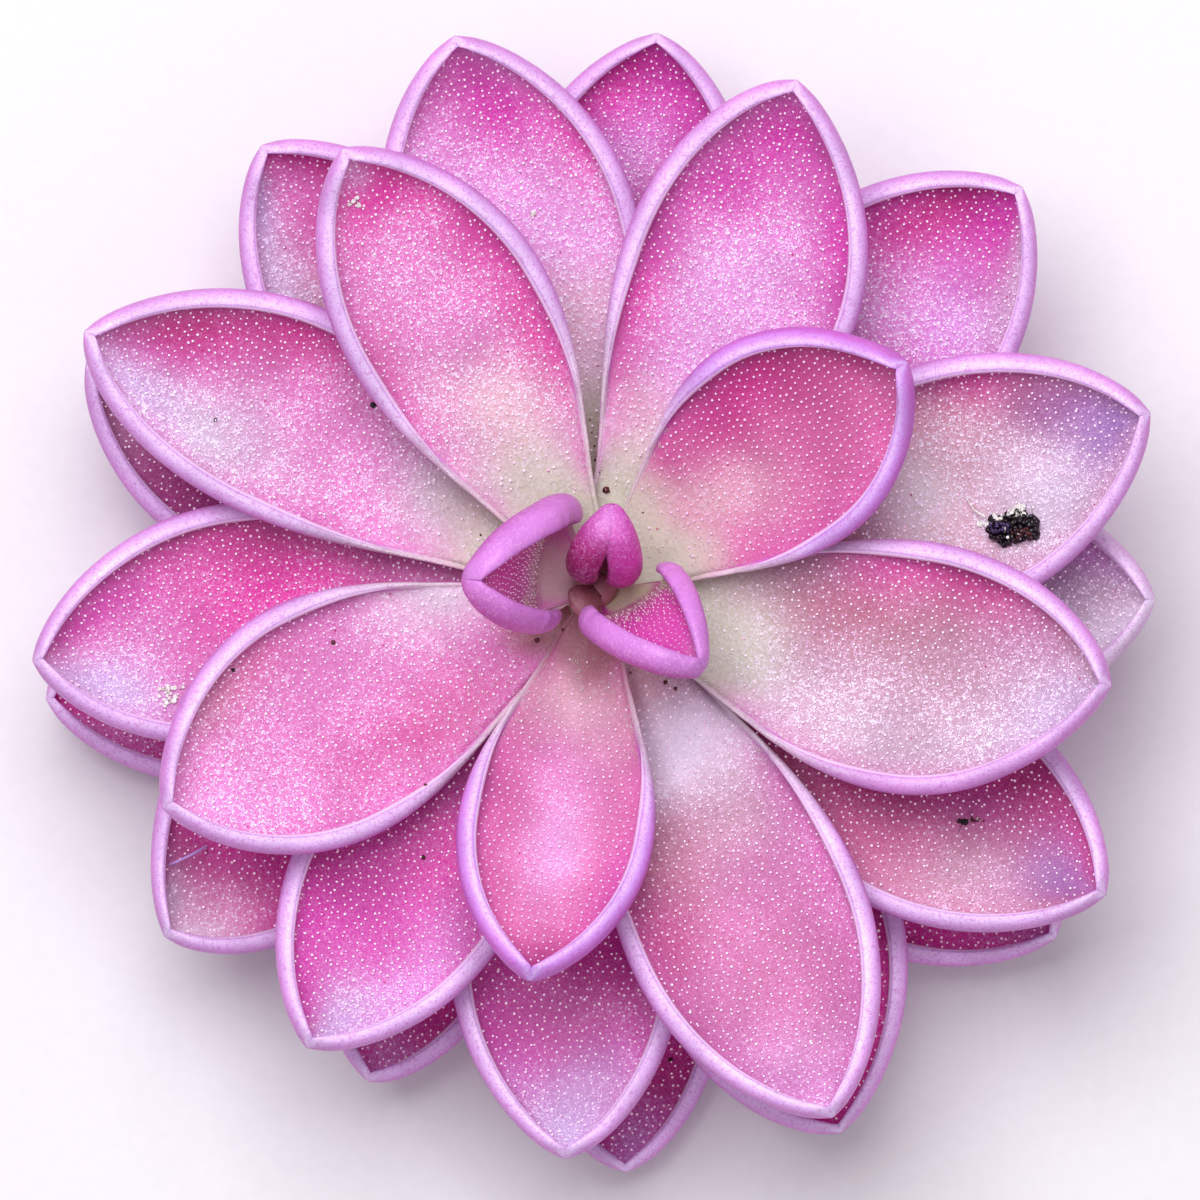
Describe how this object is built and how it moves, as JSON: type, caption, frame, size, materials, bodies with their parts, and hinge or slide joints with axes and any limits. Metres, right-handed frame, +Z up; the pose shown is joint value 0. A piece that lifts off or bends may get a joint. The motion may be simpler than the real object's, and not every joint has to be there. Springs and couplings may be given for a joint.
{
  "type": "butterwort rosette",
  "caption": "Flat, bowl-shaped rosette of boat-shaped carnivorous leaves with rolled margins round a short crown stem, cut below its lowest leaves.",
  "frame": {"origin": "middle of the crown stem's flat cut, on the surface that the rosette rests on", "axes": "+Z up along the crown stem; the two older of the three open heart leaves lean towards -X and towards +X and -Y"},
  "size_m": [0.0449, 0.0456, 0.0153],
  "materials": {
    "heart_flesh": "satin",
    "inner_flesh": "satin",
    "middle_flesh": "satin",
    "outer_flesh": "satin",
    "lowest_flesh": "satin",
    "stem_flesh": "matte",
    "prey_shell": "matte"
  },
  "bodies": {
    "root": {"crown_stem": "stem_flesh", "heart_bud": "heart_flesh", "heart_leaf_1": "heart_flesh", "heart_leaf_2": "heart_flesh", "heart_leaf_3": "heart_flesh", "inner_leaf_1": "inner_flesh", "inner_leaf_2": "inner_flesh", "middle_leaf_1": "middle_flesh", "middle_leaf_2": "middle_flesh", "middle_leaf_3": "middle_flesh", "middle_leaf_4": "middle_flesh", "middle_leaf_5": "middle_flesh", "middle_leaf_6": "middle_flesh", "middle_leaf_7": "middle_flesh", "middle_leaf_8": "middle_flesh", "middle_leaf_9": "middle_flesh", "outer_leaf_1": "outer_flesh", "outer_leaf_2": "outer_flesh", "outer_leaf_3": "outer_flesh", "outer_leaf_4": "outer_flesh", "outer_leaf_5": "outer_flesh", "outer_leaf_6": "outer_flesh", "outer_leaf_7": "outer_flesh", "outer_leaf_8": "outer_flesh", "lowest_leaf_1": "lowest_flesh", "lowest_leaf_2": "lowest_flesh", "lowest_leaf_3": "lowest_flesh", "lowest_leaf_4": "lowest_flesh", "lowest_leaf_5": "lowest_flesh", "lowest_leaf_6": "lowest_flesh", "lowest_leaf_7": "lowest_flesh", "lowest_leaf_8": "lowest_flesh", "lowest_leaf_9": "lowest_flesh", "prey_remains": "prey_shell"}
  },
  "joints": []
}
